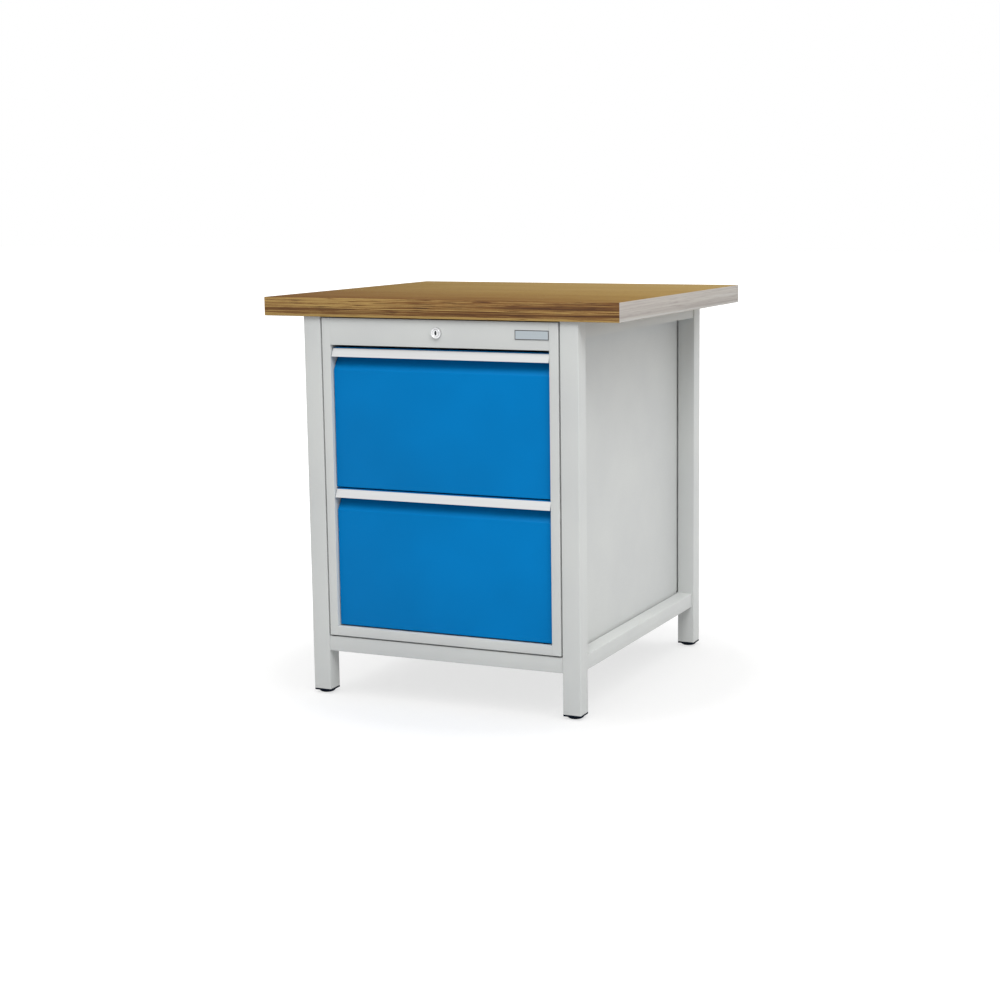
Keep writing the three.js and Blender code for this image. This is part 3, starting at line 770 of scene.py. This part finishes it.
def makeLabelPlate():
    low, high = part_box("label_plate")
    bm = bmesh.new()
    addBox(bm, low, high)
    bevelEdges(bm, bm.edges, labelLook["edge"], 2)
    bm.faces.ensure_lookup_table()
    front = min(bm.faces, key=lambda f: f.calc_center_median().y)
    bmesh.ops.inset_region(bm, faces=[front], thickness=labelLook["border"])
    ring = [f for e in front.edges for f in e.link_faces if f is not front]
    for face in ring:
        face.material_index = 1
    sunk = {"thickness": labelLook["recessSlope"], "depth": -labelLook["recess"]}
    bmesh.ops.inset_region(bm, faces=[front], **sunk)
    place(bm, "label_plate", labelMetal, borderInk())


makeLockHousing()
makeLabelPlate()
makeLockPlug()
for node in ("lock_nut", "lock_rod", "lock_bar"):
    place(brokenEdges(node, lockLook["edge"]), node, zinc)
print("lock made")

# Fasteners
boltLook = {
    "head": 6.5 * mm,
    "height": 4 * mm,
    "washer": 1 * mm,
    "shank": 4 * mm,
    "point": 1 * mm,
    "edge": 0.4 * mm,
}
screwLook = {"head": 4.5 * mm, "height": 3 * mm, "shank": 2.5 * mm, "tip": 2.5 * mm}


# a hexagon head with its washer on a plain shank, lying along x
def makeBolt(node, side):
    s = sides[side]
    low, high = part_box(node)
    inside, outside = (low.x, high.x) if s > 0 else (high.x, low.x)
    centre = Vector((0, (low.y + high.y) / 2, (low.z + high.z) / 2))
    bm = bmesh.new()
    middle = Vector((inside + s * boltLook["height"] / 2, centre.y, centre.z))
    lie = Matrix.Translation(middle) @ Matrix.Rotation(math.pi / 2, 4, "Y")
    r = boltLook["head"]
    hexagon = {"segments": 6, "radius1": r, "radius2": r, "depth": boltLook["height"]}
    bmesh.ops.create_cone(bm, cap_ends=True, matrix=lie, **hexagon)
    bevelEdges(bm, bm.edges, boltLook["edge"], 2)
    stations = [boltLook["height"], boltLook["height"] + boltLook["washer"], abs(outside - inside)]
    seat, under, tip = [inside + s * d for d in stations]
    addTurned(bm, [(0, seat), (r, seat), (r, under), (0, under)], "x", centre, 32)
    shank, point = boltLook["shank"], boltLook["point"]
    profile = [(0, under), (shank, under), (shank, tip - s * point), (shank - point, tip), (0, tip)]
    addTurned(bm, profile, "x", centre, 32)
    place(bm, node, zinc)


# a pan head under the angle, its shank up in the board
def makeScrew(node):
    low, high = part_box(node)
    middle = (low + high) / 2
    head, height, shank = screwLook["head"], screwLook["height"], screwLook["shank"]
    length = high.z - low.z
    profile = [(0, 0), (head * 0.55, height * 0.08), (head * 0.88, height * 0.4)]
    profile += [(head, height * 0.75), (head, height), (shank, height)]
    profile += [(shank, length - screwLook["tip"]), (0, length)]
    bm = bmesh.new()
    addTurned(bm, profile, "z", (middle.x, middle.y, low.z), 32)
    place(bm, node, zinc)


for end in ends:
    for side in sides:
        makeScrew(f"worktop_screw_{end}_{side}")
        for level in (1, 2):
            makeBolt(f"cabinet_bolt_{end}_{side}_{level}", side)
print("fasteners made")

# Camera at the photo's viewing angle
viewLook = {
    "azimuth": 23.0186,
    "elevation": 9.2533,
    "roll": -0.4271,
    "distance": 4.274787,
    "aside": 0.149936,
    "height": 0.388554,
    "frame": 1000,  # pixels across the photo
    "focal": 1874.2,  # in the same pixels
    "centre": 580.0,  # pixel column of the optical axis
    "sensor": 36,
}


def makeCamera():
    az, el, roll = (math.radians(viewLook[k]) for k in ("azimuth", "elevation", "roll"))
    back = Vector((math.sin(az) * math.cos(el), -math.cos(az) * math.cos(el), math.sin(el)))
    level = Vector((math.cos(az), math.sin(az), 0))
    upright = back.cross(level)
    right = level * math.cos(roll) + upright * math.sin(roll)
    up = upright * math.cos(roll) - level * math.sin(roll)
    eye = level * viewLook["aside"] + Vector((0, 0, viewLook["height"])) + back * viewLook["distance"]
    data = bpy.data.cameras.new("camera")
    data.sensor_width = viewLook["sensor"]
    data.lens = viewLook["focal"] * viewLook["sensor"] / viewLook["frame"]
    data.shift_x = (viewLook["frame"] / 2 - viewLook["centre"]) / viewLook["frame"]
    camera = bpy.data.objects.new("camera", data)
    camera.matrix_world = Matrix.Translation(eye) @ Matrix((right, up, back)).transposed().to_4x4()
    bpy.context.scene.collection.objects.link(camera)
    bpy.context.scene.camera = camera


# Studio: a pale floor, a white surround and two wide soft boxes
studioLook = {
    "zenith": 1.50,  # light of the surround overhead and at the horizon
    "horizon": 0.0,
    "floor": "e6e6e6",  # as it throws light back, and as it is seen
    "floorSeen": "a6a6a6",
    "floorFill": (0.30, 0.03),  # a fill from below, which weakens between these distances
    "underBench": (0.15, 0.45),
    "floorGlow": (0.65, 1.0),  # as it is seen, growing to plain white between these distances
    "paper": (0.52, 1.0),
    "floorSize": 60.0,
    "softBoxes": (
        {"name": "front box", "place": (2.3, -3.5, 5.5), "size": 3.6, "power": 250},
        {"name": "side box", "place": (4.4, -1.0, 2.6), "size": 3.6, "power": 50},
    ),
    "aim": (0.0, 0.0, 0.45),
}


# 1 for the rays that see the background itself, 0 for the light it gives
def seenRay(tree):
    path = addNode(tree, "LightPath")
    seen = path.outputs["Is Camera Ray"]
    for ray in ("Is Glossy Ray", "Is Transmission Ray"):
        seen = addNode(tree, "Math", {0: seen, 1: path.outputs[ray]}, operation="MAXIMUM").outputs[0]
    return seen


def makeWorld():
    world = bpy.data.worlds.new("white studio")
    world.use_nodes = True
    tree = world.node_tree
    seen = seenRay(tree)
    ray = addNode(tree, "SeparateXYZ", {"Vector": addNode(tree, "TexCoord").outputs["Generated"]})
    lamp = {"Value": ray.outputs["Z"], "To Min": studioLook["horizon"], "To Max": studioLook["zenith"]}
    ambient = addNode(tree, "MapRange", lamp)
    level = {"Value": seen, "To Min": ambient.outputs["Result"], "To Max": 1.0}
    strength = addNode(tree, "MapRange", level)
    surround = tree.nodes["Background"]
    surround.inputs["Color"].default_value = (1, 1, 1, 1)
    tree.links.new(strength.outputs["Result"], surround.inputs["Strength"])
    bpy.context.scene.world = world


# Matt paper, whose seen tone grows to plain white away from the bench.
def paperFloor():
    paper = bpy.data.materials.new("white paper floor")
    paper.use_nodes = True
    tree = paper.node_tree
    tree.nodes.remove(tree.nodes["Principled BSDF"])
    seen = seenRay(tree)
    colours = {"Color1": linear(studioLook["floor"]), "Color2": linear(studioLook["floorSeen"])}
    tint = addNode(tree, "MixRGB", dict(colours, Fac=seen))
    matt = addNode(tree, "BsdfDiffuse", {"Color": tint.outputs["Color"]})
    where = addNode(tree, "TexCoord").outputs["Object"]
    away = addNode(tree, "VectorMath", {0: where}, operation="LENGTH").outputs["Value"]
    levels = []
    for distances, tones in (("underBench", "floorFill"), ("paper", "floorGlow")):
        reach = {"Value": away}
        reach.update(zip(("From Min", "From Max"), studioLook[distances]))
        reach.update(zip(("To Min", "To Max"), studioLook[tones]))
        levels.append(addNode(tree, "MapRange", reach).outputs["Result"])
    glow = addNode(tree, "MapRange", {"Value": seen, "To Min": levels[0], "To Max": levels[1]})
    light = addNode(tree, "Emission", {"Strength": glow.outputs["Result"]})
    both = addNode(tree, "AddShader", {0: matt.outputs[0], 1: light.outputs[0]})
    tree.links.new(both.outputs[0], tree.nodes["Material Output"].inputs["Surface"])
    return paper


def makeFloor():
    bm = bmesh.new()
    bmesh.ops.create_grid(bm, x_segments=1, y_segments=1, size=studioLook["floorSize"] / 2)
    mesh = bpy.data.meshes.new("floor")
    bm.to_mesh(mesh)
    bm.free()
    floor = bpy.data.objects.new("floor", mesh)
    bpy.context.scene.collection.objects.link(floor)
    mesh.materials.append(paperFloor())
    return floor


# the soft boxes light the bench only, so that the floor keeps one soft shadow under it
def makeSoftBoxes(floor):
    unlit = bpy.data.collections.new("not lit by the soft boxes")
    unlit.objects.link(floor)
    unlit.collection_objects[0].light_linking.link_state = "EXCLUDE"
    for box in studioLook["softBoxes"]:
        lamp = bpy.data.lights.new(box["name"], "AREA")
        lamp.shape = "SQUARE"
        lamp.size = box["size"]
        lamp.energy = box["power"]
        holder = bpy.data.objects.new(box["name"], lamp)
        holder.location = box["place"]
        aim = Vector(studioLook["aim"]) - holder.location
        holder.rotation_euler = aim.to_track_quat("-Z", "Y").to_euler()
        holder.light_linking.receiver_collection = unlit
        bpy.context.scene.collection.objects.link(holder)


makeCamera()
makeWorld()
makeSoftBoxes(makeFloor())
bpy.context.scene.view_settings.view_transform = "Standard"
print("camera and studio made")
